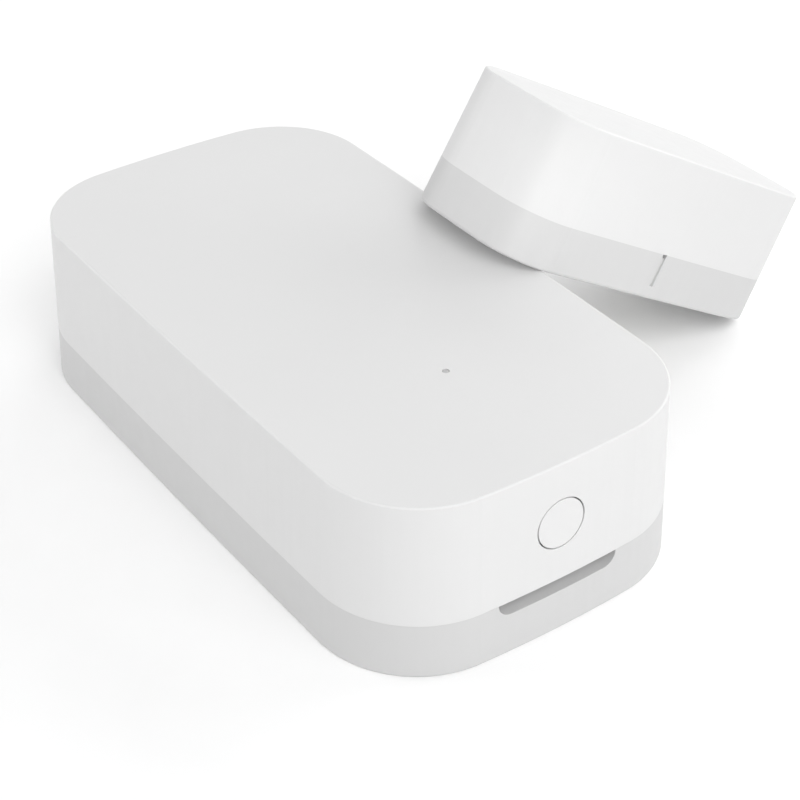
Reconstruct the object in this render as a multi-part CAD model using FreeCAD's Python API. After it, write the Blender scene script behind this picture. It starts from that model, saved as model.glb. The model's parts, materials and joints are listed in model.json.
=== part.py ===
import FreeCAD, Part
import math
import os

# Door contact sensor: a sensor unit that stands flat, and a magnet unit that leans on it.
# Frame: millimetres, +Z up, origin at the centre of the sensor's adhesive face, -Y is the button end,
# +X is the side that the magnet unit comes up to.

V = FreeCAD.Vector

# ---------------------------------------------------------------- driving dimensions
# Sensor unit
sensor_length = 41.0            # at the lower edge, along Y
sensor_width = 22.12            # at the lower edge, along X
sensor_height = 10.8            # lower edge of the base to the top of the cover
sensor_base_height = 3.4        # lower edge to the parting line
sensor_corner = 6.33            # plan corner radius at the lower edge
sensor_side_crown = 1000.0      # the long sides bow out very slightly
sensor_end_crown = 83.0         # the short ends bow out a little more
sensor_draft = 0.0395           # inset per unit of height on every outer wall
sensor_wall = 1.2
sensor_top = 1.2
sensor_floor = 1.2
top_edge_round = 0.12
lower_edge_round = 0.1

# Magnet unit
magnet_length = 24.73
magnet_width = 11.17
magnet_height = 8.8
magnet_base_height = 2.93
magnet_corner = 3.55
magnet_side_crown = 52.0        # on the short ends
magnet_long_crown = 520.0       # on the long sides
magnet_draft = 0.032
magnet_wall = 1.1
magnet_top = 1.1
magnet_floor = 1.1
magnet_lower_edge_round = 0.2
magnet_tilt = 30.0              # degrees, leaning on the top edge of the sensor

# Fits
parting_gap = 0.004             # below the sensor cover's edge; the magnet unit's halves touch
lip_gap = 0.1                   # between a cover's inner wall and the base's locating lip
lip_thickness = 0.7
lip_height = 1.2
lip_root = 0.6                  # how far the lip overlaps the wall that carries it
lean_gap = 0.02                 # magnet unit clear of the sensor's top edge
button_gap = 0.07               # radial
tip_gap = 0.02                  # radial, round the light pipe's tip
recess_gap = 0.1                # round an adhesive pad
overlap = 0.1                   # how far fused solids run into each other
beyond = 1.0                    # how far a cutter runs past what it cuts

# Adhesive pads
pad_proud = 0.01
pad_thickness = 0.5
sensor_pad_inset = 1.7
magnet_pad_length = 15.4
magnet_pad_width = 8.0
magnet_pad_corner = 1.5

# Pry slot and alignment marks
slot_width = 7.8
slot_depth = 0.84
slot_corner = 0.8
slot_reach = 0.9
mark_width = 0.3
mark_depth = 0.1
mark_length = 2.1
mark_head_width = 0.34
mark_head_depth = 0.5
mark_head_length = 0.2

# Pairing button
button_diameter = 2.94
button_centre_height = 7.0      # above the lower edge
button_flange_diameter = 4.2
button_flange_thickness = 0.6
button_flange_gap = 0.12        # behind the wall, which stops the button's return
button_stem_diameter = 1.6
stem_gap = 0.04                 # in front of the plunger
plunger_diameter = 1.2
plunger_reach = 0.9             # in front of the switch
plunger_root = 0.6              # inside it

# Status light
light_y = -10.22
light_tip_diameter = 0.36
light_tip_depth = 0.05          # below the cover's top
light_skin = 0.55               # of the cover's top over the pipe's shoulder
light_pipe_diameter = 1.4
light_pipe_bottom = 0.8         # above the board
light_shoulder_gap = 0.05       # below the cover's skin
light_collar_diameter = 2.8
light_collar_height = 2.1
led_width = 1.6
led_depth = 0.8
led_body_height = 0.3
led_lens_width = 1.0
led_height = 0.6

# Circuit board
board_bottom = 5.2
board_thickness = 0.8
board_edge_gap = 0.25
board_notch_width = 5.2
board_notch_depth = 1.6
boss_diameter = 3.0
rib_places = ((-7.4, -5.0), (7.4, -5.0), (-7.4, 15.0), (7.4, 15.0))
rib_length = 4.8
rib_thickness = 0.7
rib_height = 1.6
screw_diameter = 1.1
screw_clearance = 0.15          # radial, in the board
screw_bite = 0.03               # radial, between the shank and its pilot hole
screw_head_diameter = 2.4
screw_head_height = 0.7
screw_shank_length = 3.9
screw_pilot_length = 3.4
screw_cross_length = 1.4
screw_cross_width = 0.24
screw_cross_depth = 0.3
screw_places = ((-6.4, -13.6), (6.4, -13.6), (-6.6, 10.8))

# What is soldered on the board: (lowest x, highest x, lowest y, highest y), heights above the board
chip_span = (-5.6, -0.6, -4.2, 0.8)
chip_height = 0.85
chip_dimple_diameter = 0.5
chip_dimple_depth = 0.05
chip_dimple_inset = 0.6
crystal_span = (-4.7, -1.5, 2.6, 5.1)
crystal_height = 0.7
crystal_round = 0.15
antenna_low = 14.2
antenna_high = 17.4
antenna_strip = 0.5
antenna_pitch = 1.6
antenna_runs = 7
antenna_thickness = 0.08
passive_length = 1.0
passive_width = 0.5
resistor_height = 0.35
capacitor_height = 0.5
resistor_places = ((2.2, -6.6), (2.2, -4.6), (2.2, -2.6), (-4.6, 7.6), (-2.6, 7.6), (-0.6, 7.6))
capacitor_places = ((-7.4, -6.4), (-7.4, -3.4), (-7.4, -0.4), (-2.4, 10.2), (-0.4, 10.2), (1.6, 10.2))

# Coin cell, 16 by 3.2
cell_diameter = 16.0
cell_height = 3.2
cell_bottom = 1.75
cell_y = 0.6
cell_can_round = 0.3
cell_rim_depth = 0.1            # of the can's rim below the lid's top
cell_seat_depth = 0.5           # from the rim to the seat of the seal
cell_lid_diameter = 13.6
cell_lid_round = 0.2
cell_seal_width = 0.55
cell_seal_height = 0.45
holder_clearance = 0.15
holder_seat_gap = 0.04          # below the cell
holder_outer_diameter = 18.8
holder_half_width = 8.6
holder_bottom = 1.95
holder_window = 4.8             # where the positive contact stands
hook_height = 0.5
hook_width = 1.8
hook_x = 4.0
hook_reach = 0.5                # under the cell
contact_width = 3.6
contact_thickness = 0.2
contact_foot = 2.0
contact_gap = 0.01
contact_bottom = 2.15
plate_length = 7.0
plate_width = 2.4
plate_thickness = 0.12
pip_diameter = 1.0
pip_places = (-2.4, 0, 2.4)

# Tact switch
switch_width = 4.0
switch_depth = 3.0
switch_height = 2.3
switch_front_y = -16.1
switch_bore_gap = 0.05          # radial
switch_bore_depth = 1.1
switch_tab_reach = 0.5
switch_tab_start = 0.6          # behind the front
switch_tab_length = 0.7
switch_tab_thickness = 0.2

# Reed switch
reed_x = 6.9
reed_y = 1.0
reed_glass_length = 10.0
reed_glass_diameter = 1.8
reed_glass_wall = 0.3
reed_glass_round = 0.5
reed_height_over_board = 1.15
reed_lead_diameter = 0.45
reed_blade_width = 0.6
reed_blade_thickness = 0.15
reed_overlap = 0.9
reed_contact_gap = 0.12
reed_seal = 1.2
reed_root_gap = 0.1             # between the moving blade and the seal
reed_lead_reach = 7.4
reed_lead_bend = 0.8
reed_lead_tail = 0.3            # below the board
reed_lead_clearance = 0.1       # radial, in the board

# Bar magnet
bar_length = 15.0
bar_width = 5.0
bar_height = 3.0
bar_bottom = 2.4
bar_corner = 0.3
bar_clearance = 0.05
grip_place = 4.2                # from the middle to each grip
grip_thickness = 0.8
stop_thickness = 0.8
stop_width = 3.2
grip_lift = 0.15                # above the base's lip
rest_place = 4.0
rest_thickness = 1.0
rest_length = 4.8
inner_root = 0.3                # how far ribs and bosses run into a wall
inner_skin = 0.4                # and how far they stay below the outer top

# ---------------------------------------------------------------- levels worked out from them
edge_z = pad_proud
parting_z = edge_z + sensor_base_height
top_z = edge_z + sensor_height
button_z = edge_z + button_centre_height
board_top = board_bottom + board_thickness
reed_z = board_top + reed_height_over_board
cell_top = cell_bottom + cell_height
cell_rim = cell_top - cell_rim_depth
cell_seat = cell_rim - cell_seat_depth


class Outline:
    """A rounded rectangle whose four sides bow out: eight tangent arcs."""

    def __init__(self, width, length, corner, side_crown, end_crown, draft, height):
        self.half_x = width / 2
        self.half_y = length / 2
        self.corner = corner
        self.side_crown = side_crown
        self.end_crown = end_crown
        self.draft = draft
        self.base_z = height
        self.corner_x, self.corner_y = self.corner_centre()

    def corner_centre(self):
        """The point that lies inside both the side arc and the end arc by the corner radius."""
        side_x = self.half_x - self.side_crown
        end_y = self.half_y - self.end_crown
        side_reach = self.side_crown - self.corner
        end_reach = self.end_crown - self.corner
        span = math.hypot(side_x, end_y)
        along = (side_reach ** 2 - end_reach ** 2 + span ** 2) / (2 * span)
        across = math.sqrt(side_reach ** 2 - along ** 2)
        unit_x = -side_x / span
        unit_y = end_y / span
        return side_x + along * unit_x - across * unit_y, along * unit_y + across * unit_x

    def wire(self, inset, z):
        side = self.side_crown - inset
        end = self.end_crown - inset
        corner = self.corner - inset
        side_x = self.half_x - self.side_crown
        end_y = self.half_y - self.end_crown
        side_angle = math.atan2(self.corner_y, self.corner_x - side_x)
        end_angle = math.atan2(self.corner_y - end_y, self.corner_x)
        middle = (side_angle + end_angle) / 2

        def on_corner(angle):
            return self.corner_x + corner * math.cos(angle), self.corner_y + corner * math.sin(angle)

        def point(pair, sign_x, sign_y):
            return V(sign_x * pair[0], sign_y * pair[1], z)

        side_end = (side_x + side * math.cos(side_angle), side * math.sin(side_angle))
        end_end = (end * math.cos(end_angle), end_y + end * math.sin(end_angle))
        side_mid = (side_x + side, 0)
        end_mid = (0, end_y + end)
        corner_mid = on_corner(middle)
        edges = []
        for sx, sy in ((1, 1), (-1, 1), (-1, -1), (1, -1)):
            turn = [point(side_end, sx, sy), point(corner_mid, sx, sy), point(end_end, sx, sy)]
            if sx * sy < 0:
                turn.reverse()
            edges.append(Part.Arc(*turn).toShape())
            if sx * sy > 0:
                run = [point(end_end, sx, sy), point(end_mid, sx, sy), point(end_end, -sx, sy)]
            else:
                run = [point(side_end, sx, sy), point(side_mid, sx, sy), point(side_end, sx, -sy)]
            edges.append(Part.Arc(*run).toShape())
        return Part.Wire(edges)

    def block(self, inset, low, high):
        """A solid between two levels that follows the drafted wall, set in from it."""
        wires = [self.wire(inset + self.draft * (z - self.base_z), z) for z in (low, high)]
        return Part.makeLoft(wires, True, True)

    def prism(self, inset, low, high):
        """A solid with upright walls."""
        face = Part.Face(self.wire(inset, low))
        return face.extrude(V(0, 0, high - low))


sensor = Outline(sensor_width, sensor_length, sensor_corner, sensor_side_crown,
                 sensor_end_crown, sensor_draft, edge_z)
magnet = Outline(magnet_length, magnet_width, magnet_corner, magnet_side_crown,
                 magnet_long_crown, magnet_draft, 0.0)


# ---------------------------------------------------------------- small shapes
def box(x0, x1, y0, y1, z0, z1):
    return Part.makeBox(x1 - x0, y1 - y0, z1 - z0, V(x0, y0, z0))


def rod(diameter, length, start, direction):
    return Part.makeCylinder(diameter / 2, length, start, direction)


def rounded_bar(length, width, radius, low, high):
    """A rounded rectangle along X, centred on the origin."""
    solid = box(-length / 2, length / 2, -width / 2, width / 2, low, high)
    uprights = [e for e in solid.Edges if abs(e.Vertexes[0].Z - e.Vertexes[-1].Z) > (high - low) / 2]
    return solid.makeFillet(radius, uprights)


def round_level_edges(solid, radius, z):
    """Round every edge that lies at one level."""
    level = [e for e in solid.Edges if all(abs(v.Z - z) < 1e-4 for v in e.Vertexes)]
    return solid.makeFillet(radius, level)


def fused(first, *others):
    result = first
    for other in others:
        result = result.fuse(other)
    return result.removeSplitter()


def mark_cutter(face_y, top, length):
    """A narrow upright groove in a wall that faces -Y, with a wider notch at its upper end."""
    groove = box(-mark_width / 2, mark_width / 2, face_y - beyond, face_y + mark_depth,
                 top - length, top + overlap)
    notch = box(-mark_head_width / 2, mark_head_width / 2, face_y - beyond, face_y + mark_head_depth,
                top - mark_head_length, top + overlap)
    return groove.fuse(notch)


# ---------------------------------------------------------------- shells
def make_cover(outline, low, high, wall, top):
    """An open-bottomed shell with a finely rounded top edge."""
    outer = round_level_edges(outline.block(0, low, high), top_edge_round, high)
    return outer, outer.cut(outline.block(wall, low - beyond, high - top))


def make_tray(outline, low, parting, gap, wall, floor, rounding):
    """A tray with a lip that stands up inside the cover."""
    lip_outer = wall + lip_gap
    lip_inner = lip_outer + lip_thickness
    tray = round_level_edges(outline.block(0, low, parting - gap), rounding, low)
    lip = outline.block(lip_outer, parting - lip_root, parting + lip_height)
    return fused(tray, lip).cut(outline.block(lip_inner, low + floor, parting + lip_height + beyond))


def make_sensor_base():
    tray = make_tray(sensor, edge_z, parting_z, parting_gap, sensor_wall, sensor_floor, lower_edge_round)
    pad_recess = sensor.prism(sensor_pad_inset - recess_gap, edge_z - beyond, pad_thickness)
    slot_low = parting_z - slot_depth
    front = -sensor_length / 2
    slot = box(-slot_width / 2, slot_width / 2, front - beyond, front + slot_reach,
               slot_low, parting_z + beyond)
    lower = [e for e in slot.Edges
             if all(abs(v.Z - slot_low) < 1e-6 for v in e.Vertexes)
             and abs(e.Vertexes[0].X - e.Vertexes[1].X) < 1e-6]
    slot = slot.makeFillet(slot_corner, lower)
    mark = mark_cutter(-sensor_width / 2 + sensor_draft * sensor_base_height, parting_z, mark_length)
    mark.rotate(V(0, 0, 0), V(0, 0, 1), 90)
    return tray.cut(pad_recess).cut(slot).cut(mark)


def make_sensor_cover():
    outer, cover = make_cover(sensor, parting_z, top_z, sensor_wall, sensor_top)
    inner_top = top_z - sensor_top
    inside = sensor.block(sensor_wall - inner_root, parting_z, top_z - inner_skin)
    bosses = [rod(boss_diameter, inner_top - board_top + overlap, V(x, y, board_top), V(0, 0, 1))
              for x, y in screw_places]
    collar = rod(light_collar_diameter, light_collar_height + overlap,
                 V(0, light_y, inner_top - light_collar_height), V(0, 0, 1))
    ribs = [box(x - rib_length / 2, x + rib_length / 2, y - rib_thickness / 2, y + rib_thickness / 2,
                inner_top - rib_height, inner_top + overlap)
            for x, y in rib_places]
    extras = [piece.common(inside) for piece in bosses + [collar] + ribs]
    cover = fused(cover, *extras)
    front = -sensor_length / 2
    button_hole = rod(button_diameter + 2 * button_gap, sensor_wall + 2 * beyond,
                      V(0, front - beyond, button_z), V(0, 1, 0))
    pipe_hole = rod(light_pipe_diameter + overlap, light_collar_height + sensor_top,
                    V(0, light_y, top_z - light_skin - light_collar_height - sensor_top), V(0, 0, 1))
    tip_hole = rod(light_tip_diameter + 2 * tip_gap, 2 * beyond, V(0, light_y, top_z - beyond), V(0, 0, 1))
    cover = cover.cut(button_hole).cut(pipe_hole).cut(tip_hole)
    for x, y in screw_places:
        pilot = rod(screw_diameter, screw_pilot_length, V(x, y, board_top - overlap), V(0, 0, 1))
        cover = cover.cut(pilot)
    return outer, cover


def make_pairing_button(cover_outer):
    """A cap flush with the end wall, a flange behind the wall, and a stem that reaches the switch."""
    front = -sensor_length / 2
    wall_inner_y = front + sensor_draft * button_centre_height + sensor_wall
    flange_front = wall_inner_y + button_flange_gap
    cap = rod(button_diameter, flange_front - front + beyond, V(0, front - beyond, button_z), V(0, 1, 0))
    flange = rod(button_flange_diameter, button_flange_thickness, V(0, flange_front, button_z), V(0, 1, 0))
    stem_start = flange_front + button_flange_thickness - overlap
    stem_end = switch_front_y - plunger_reach - stem_gap
    stem = rod(button_stem_diameter, stem_end - stem_start, V(0, stem_start, button_z), V(0, 1, 0))
    return fused(cap.common(cover_outer), flange, stem)


# ---------------------------------------------------------------- switch behind the button
def make_switch_body():
    front = switch_front_y
    body = box(-switch_width / 2, switch_width / 2, front, front + switch_depth,
               board_top, board_top + switch_height)
    tab_end = switch_width / 2 + switch_tab_reach
    tab = box(-tab_end, tab_end, front + switch_tab_start, front + switch_tab_start + switch_tab_length,
              board_top, board_top + switch_tab_thickness)
    bore = rod(plunger_diameter + 2 * switch_bore_gap, switch_bore_depth + beyond,
               V(0, front - beyond, button_z), V(0, 1, 0))
    return fused(body, tab).cut(bore)


def make_switch_plunger():
    start = V(0, switch_front_y - plunger_reach, button_z)
    return rod(plunger_diameter, plunger_reach + plunger_root, start, V(0, 1, 0))


# ---------------------------------------------------------------- circuit board and what is on it
def make_circuit_board():
    inset = sensor_wall + board_edge_gap + sensor_draft * (board_top - edge_z)
    board = sensor.prism(inset, board_bottom, board_top)
    front = -sensor_length / 2 + inset
    below = board_bottom - beyond
    through = board_thickness + 2 * beyond
    board = board.cut(box(-board_notch_width / 2, board_notch_width / 2, front - beyond,
                          front + board_notch_depth, below, below + through))
    for x, y in screw_places:
        board = board.cut(rod(screw_diameter + 2 * screw_clearance, through, V(x, y, below), V(0, 0, 1)))
    for end in (-1, 1):
        place = V(reed_x, reed_y + end * reed_lead_reach, below)
        board = board.cut(rod(reed_lead_diameter + 2 * reed_lead_clearance, through, place, V(0, 0, 1)))
    return board


def make_board_screws():
    screws = []
    low = board_bottom - screw_head_height
    long = screw_cross_length / 2
    thin = screw_cross_width / 2
    for x, y in screw_places:
        head = rod(screw_head_diameter, screw_head_height, V(x, y, low), V(0, 0, 1))
        shank = rod(screw_diameter - 2 * screw_bite, screw_shank_length,
                    V(x, y, board_bottom - overlap), V(0, 0, 1))
        along = box(x - long, x + long, y - thin, y + thin, low - beyond, low + screw_cross_depth)
        across = box(x - thin, x + thin, y - long, y + long, low - beyond, low + screw_cross_depth)
        screws.append(fused(head, shank).cut(along.fuse(across)))
    return Part.makeCompound(screws)


def make_status_led():
    low = light_y - led_depth / 2
    high = light_y + led_depth / 2
    body = box(-led_width / 2, led_width / 2, low, high, board_top, board_top + led_body_height)
    lens = box(-led_lens_width / 2, led_lens_width / 2, low, high,
               board_top + led_body_height, board_top + led_height)
    return fused(body, lens)


def make_light_pipe():
    shoulder = top_z - light_skin - light_shoulder_gap
    start = board_top + light_pipe_bottom
    pipe = rod(light_pipe_diameter, shoulder - start, V(0, light_y, start), V(0, 0, 1))
    tip_start = shoulder - overlap
    tip = rod(light_tip_diameter, top_z - light_tip_depth - tip_start, V(0, light_y, tip_start), V(0, 0, 1))
    return fused(pipe, tip)


def make_radio_chip():
    low_x, high_x, low_y, high_y = chip_span
    top = board_top + chip_height
    body = box(low_x, high_x, low_y, high_y, board_top, top)
    place = V(low_x + chip_dimple_inset, high_y - chip_dimple_inset, top - chip_dimple_depth)
    return body.cut(rod(chip_dimple_diameter, beyond, place, V(0, 0, 1)))


def make_crystal():
    can = box(*crystal_span, board_top, board_top + crystal_height)
    return round_level_edges(can, crystal_round, board_top + crystal_height)


def make_antenna():
    """A meandering copper strip across the end of the board."""
    half = antenna_strip / 2
    top = board_top + antenna_thickness
    places = [(i - (antenna_runs - 1) / 2) * antenna_pitch for i in range(antenna_runs)]
    pieces = [box(x - half, x + half, antenna_low, antenna_high, board_top, top) for x in places]
    for i, x in enumerate(places[:-1]):
        start = antenna_high - antenna_strip if i % 2 else antenna_low
        pieces.append(box(x - half, x + antenna_pitch + half, start, start + antenna_strip, board_top, top))
    return fused(*pieces)


def make_chip_row(places, height):
    """Small two-ended parts that lie along X."""
    long = passive_length / 2
    wide = passive_width / 2
    return Part.makeCompound([box(x - long, x + long, y - wide, y + wide, board_top, board_top + height)
                              for x, y in places])


# ---------------------------------------------------------------- coin cell and its holder
def make_cell_can():
    can = rod(cell_diameter, cell_rim - cell_bottom, V(0, cell_y, cell_bottom), V(0, 0, 1))
    can = round_level_edges(can, cell_can_round, cell_bottom)
    return can.cut(rod(cell_lid_diameter + 2 * cell_seal_width, beyond, V(0, cell_y, cell_seat), V(0, 0, 1)))


def make_cell_seal():
    outer = rod(cell_lid_diameter + 2 * cell_seal_width, cell_seal_height,
                V(0, cell_y, cell_seat), V(0, 0, 1))
    return outer.cut(rod(cell_lid_diameter, 2 * beyond, V(0, cell_y, cell_seat - beyond), V(0, 0, 1)))


def make_cell_lid():
    lid = rod(cell_lid_diameter, cell_top - cell_seat, V(0, cell_y, cell_seat), V(0, 0, 1))
    return round_level_edges(lid, cell_lid_round, cell_top)


def make_battery_holder():
    """A ring round the cell, open where the positive contact stands, with two hooks under the cell."""
    def round_slab(diameter, low, high):
        return rod(diameter, high - low, V(0, cell_y, low), V(0, 0, 1))

    far = holder_outer_diameter
    ring = round_slab(holder_outer_diameter, holder_bottom, board_bottom)
    keep = box(-holder_half_width, holder_half_width, cell_y - far, cell_y + far, 0, board_top)
    window = box(-holder_window / 2, holder_window / 2, cell_y + cell_diameter / 4, cell_y + far,
                 0, board_top)
    ring = ring.common(keep).cut(window)
    hook_low = holder_bottom - hook_height
    band = round_slab(holder_outer_diameter, hook_low, holder_bottom + overlap)
    hooks = [box(x - hook_width / 2, x + hook_width / 2, cell_y - far, cell_y, hook_low,
                 holder_bottom + overlap).common(band) for x in (-hook_x, hook_x)]
    opening = round_slab(cell_diameter - 2 * hook_reach, 0, board_top)
    cell_space = round_slab(cell_diameter + 2 * holder_clearance, cell_bottom - holder_seat_gap, board_top)
    return fused(ring, *hooks).cut(opening).cut(cell_space)


def make_positive_contact():
    """A strip from the board down the side of the can."""
    face_y = cell_y + cell_diameter / 2 + contact_gap
    half = contact_width / 2
    strip = box(-half, half, face_y, face_y + contact_thickness, contact_bottom, board_bottom)
    foot = box(-half, half, face_y, face_y + contact_foot, board_bottom - contact_thickness, board_bottom)
    return fused(strip, foot)


def make_negative_contact():
    """A plate under the board with three pips that press on the cell's lid."""
    plate = box(-plate_length / 2, plate_length / 2, cell_y - plate_width / 2, cell_y + plate_width / 2,
                board_bottom - plate_thickness, board_bottom)
    pip_top = board_bottom - plate_thickness / 2
    pips = [rod(pip_diameter, pip_top - cell_top, V(x, cell_y, cell_top), V(0, 0, 1)) for x in pip_places]
    return fused(plate, *pips)


# ---------------------------------------------------------------- reed switch
def reed_rod(diameter, length):
    """A rod along Y with its middle at the reed switch's middle."""
    return rod(diameter, length, V(reed_x, reed_y - length / 2, reed_z), V(0, 1, 0))


def make_reed_glass():
    tube = reed_rod(reed_glass_diameter, reed_glass_length)
    ends = [e for e in tube.Edges if abs(e.Length - math.pi * reed_glass_diameter) < 1e-3]
    tube = tube.makeFillet(reed_glass_round, ends)
    bore = reed_rod(reed_glass_diameter - 2 * reed_glass_wall, reed_glass_length - 2 * reed_seal)
    wire = reed_rod(reed_lead_diameter, reed_glass_length + 2 * beyond)
    return tube.cut(bore).cut(wire)


def reed_lead(end):
    """A wire from the seal out along Y, then down through the board."""
    inner = reed_glass_length / 2 - reed_seal
    bend = reed_lead_bend
    short = bend * (1 - math.sqrt(0.5))

    def along(reach, drop):
        return V(reed_x, reed_y + end * reach, reed_z - drop)

    start = along(inner, 0)
    corner_start = along(reed_lead_reach - bend, 0)
    corner_mid = along(reed_lead_reach - short, short)
    corner_end = along(reed_lead_reach, bend)
    foot = along(reed_lead_reach, reed_z - board_bottom + reed_lead_tail)
    path = Part.Wire([Part.LineSegment(start, corner_start).toShape(),
                      Part.Arc(corner_start, corner_mid, corner_end).toShape(),
                      Part.LineSegment(corner_end, foot).toShape()])
    ring = Part.Wire([Part.Circle(start, V(0, end, 0), reed_lead_diameter / 2).toShape()])
    return path.makePipeShell([ring], True, False)


def reed_blade(end, root_gap, low):
    """A flat blade from a seal, or just short of it, to just past the middle, at one level."""
    root = reed_y + end * (reed_glass_length / 2 - reed_seal - root_gap)
    tip = reed_y - end * reed_overlap / 2
    return box(reed_x - reed_blade_width / 2, reed_x + reed_blade_width / 2, min(root, tip), max(root, tip),
               low, low + reed_blade_thickness)


def make_reed_fixed_blade():
    low = reed_z - reed_contact_gap / 2 - reed_blade_thickness
    return fused(reed_lead(1), reed_blade(1, 0, low))


def make_reed_lead():
    return reed_lead(-1)


def make_reed_moving_blade():
    return reed_blade(-1, reed_root_gap, reed_z + reed_contact_gap / 2)


# ---------------------------------------------------------------- magnet unit, in its own upright frame
def make_magnet_cover():
    parting = magnet_base_height
    cover = make_cover(magnet, parting, magnet_height, magnet_wall, magnet_top)[1]
    inside = magnet.block(magnet_wall - inner_root, parting, magnet_height - inner_skin)
    low = parting + lip_height + grip_lift
    high = magnet_height - magnet_top + overlap

    def fin(x, thickness, half_width):
        return box(x - thickness / 2, x + thickness / 2, -half_width, half_width, low, high)

    stop_place = bar_length / 2 + bar_clearance + stop_thickness / 2
    fins = [fin(side * grip_place, grip_thickness, magnet_width / 2) for side in (-1, 1)]
    fins += [fin(side * stop_place, stop_thickness, stop_width / 2) for side in (-1, 1)]
    half_length = bar_length / 2 + bar_clearance
    half_width = bar_width / 2 + bar_clearance
    pocket = box(-half_length, half_length, -half_width, half_width, 0, bar_bottom + bar_height)
    return fused(cover, *[piece.common(inside).cut(pocket) for piece in fins])


def make_magnet_base():
    tray = make_tray(magnet, 0, magnet_base_height, 0, magnet_wall, magnet_floor, magnet_lower_edge_round)
    recess = rounded_bar(magnet_pad_length + 2 * recess_gap, magnet_pad_width + 2 * recess_gap,
                         magnet_pad_corner + recess_gap, -beyond, pad_thickness - pad_proud)
    rests = [box(side * rest_place - rest_thickness / 2, side * rest_place + rest_thickness / 2,
                 -rest_length / 2, rest_length / 2, magnet_floor - overlap, bar_bottom)
             for side in (-1, 1)]
    mark = mark_cutter(-magnet_width / 2 + magnet_draft * magnet_base_height, magnet_base_height, mark_length)
    return fused(tray, *rests).cut(recess).cut(mark)


def make_bar_magnet():
    return rounded_bar(bar_length, bar_width, bar_corner, bar_bottom, bar_bottom + bar_height)


def make_magnet_pad():
    return rounded_bar(magnet_pad_length, magnet_pad_width, magnet_pad_corner, -pad_proud,
                       pad_thickness - pad_proud)


def leaned(shape):
    """Tilt the magnet unit so that its far lower edge is on the floor and it rests on the sensor."""
    tilt = math.radians(magnet_tilt)
    sine = math.sin(tilt)
    cosine = math.cos(tilt)
    edge_x = sensor_width / 2 - sensor_draft * sensor_height
    corner_loss = sine + cosine - 1
    gap = lean_gap - top_edge_round * corner_loss
    half = magnet_length / 2
    centre_z = half * sine - magnet_lower_edge_round * corner_loss
    centre_x = edge_x + (gap + (top_z - centre_z) * cosine) / sine
    centre = V(centre_x, 0, centre_z)
    placed = shape.copy()
    placed.Placement = FreeCAD.Placement(centre, FreeCAD.Rotation(V(0, 1, 0), magnet_tilt))
    return placed


# ---------------------------------------------------------------- all pieces
def make_parts():
    cover_outer, sensor_cover = make_sensor_cover()
    return {
        "sensor_base": make_sensor_base(),
        "sensor_adhesive_pad": sensor.prism(sensor_pad_inset, 0, pad_thickness),
        "sensor_cover": sensor_cover,
        "pairing_button": make_pairing_button(cover_outer),
        "switch_plunger": make_switch_plunger(),
        "switch_body": make_switch_body(),
        "circuit_board": make_circuit_board(),
        "board_screws": make_board_screws(),
        "status_led": make_status_led(),
        "light_pipe": make_light_pipe(),
        "radio_chip": make_radio_chip(),
        "crystal": make_crystal(),
        "antenna": make_antenna(),
        "chip_resistors": make_chip_row(resistor_places, resistor_height),
        "chip_capacitors": make_chip_row(capacitor_places, capacitor_height),
        "coin_cell_can": make_cell_can(),
        "coin_cell_seal": make_cell_seal(),
        "coin_cell_lid": make_cell_lid(),
        "battery_holder": make_battery_holder(),
        "positive_contact": make_positive_contact(),
        "negative_contact": make_negative_contact(),
        "reed_glass": make_reed_glass(),
        "reed_fixed_blade": make_reed_fixed_blade(),
        "reed_lead": make_reed_lead(),
        "reed_moving_blade": make_reed_moving_blade(),
        "magnet_cover": leaned(make_magnet_cover()),
        "magnet_base": leaned(make_magnet_base()),
        "bar_magnet": leaned(make_bar_magnet()),
        "magnet_adhesive_pad": leaned(make_magnet_pad()),
    }


def main():
    os.makedirs("parts", exist_ok=True)
    for name, shape in make_parts().items():
        if not shape.isValid():
            raise ValueError(name + " is not a valid solid")
        shape.exportStep("parts/" + name + ".step")
        print(name, len(shape.Solids), round(shape.Volume, 3))


main()
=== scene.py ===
import json
import math

import bmesh
import bpy
from mathutils import Matrix, Vector

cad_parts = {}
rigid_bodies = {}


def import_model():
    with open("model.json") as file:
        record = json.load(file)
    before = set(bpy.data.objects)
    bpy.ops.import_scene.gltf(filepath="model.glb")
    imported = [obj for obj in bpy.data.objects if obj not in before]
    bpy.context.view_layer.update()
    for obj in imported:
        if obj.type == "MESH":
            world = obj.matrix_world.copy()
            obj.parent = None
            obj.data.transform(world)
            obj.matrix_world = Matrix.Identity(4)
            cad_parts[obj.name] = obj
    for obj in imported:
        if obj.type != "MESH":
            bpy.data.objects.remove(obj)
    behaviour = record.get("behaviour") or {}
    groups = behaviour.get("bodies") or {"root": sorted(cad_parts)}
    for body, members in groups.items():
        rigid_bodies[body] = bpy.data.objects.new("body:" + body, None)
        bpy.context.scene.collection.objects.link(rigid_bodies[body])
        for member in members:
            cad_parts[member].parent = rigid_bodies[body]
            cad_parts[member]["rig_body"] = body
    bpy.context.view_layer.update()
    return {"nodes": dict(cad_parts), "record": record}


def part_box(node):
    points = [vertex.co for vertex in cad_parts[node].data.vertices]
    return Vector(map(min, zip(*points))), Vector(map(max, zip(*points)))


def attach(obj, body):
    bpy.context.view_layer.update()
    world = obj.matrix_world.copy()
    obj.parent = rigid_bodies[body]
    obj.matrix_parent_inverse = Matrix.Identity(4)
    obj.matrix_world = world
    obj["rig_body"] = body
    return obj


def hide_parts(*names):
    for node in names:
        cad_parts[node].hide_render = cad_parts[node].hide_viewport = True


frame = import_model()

scene = bpy.context.scene
scene.view_settings.view_transform = "Standard"
MM = 0.001


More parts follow.
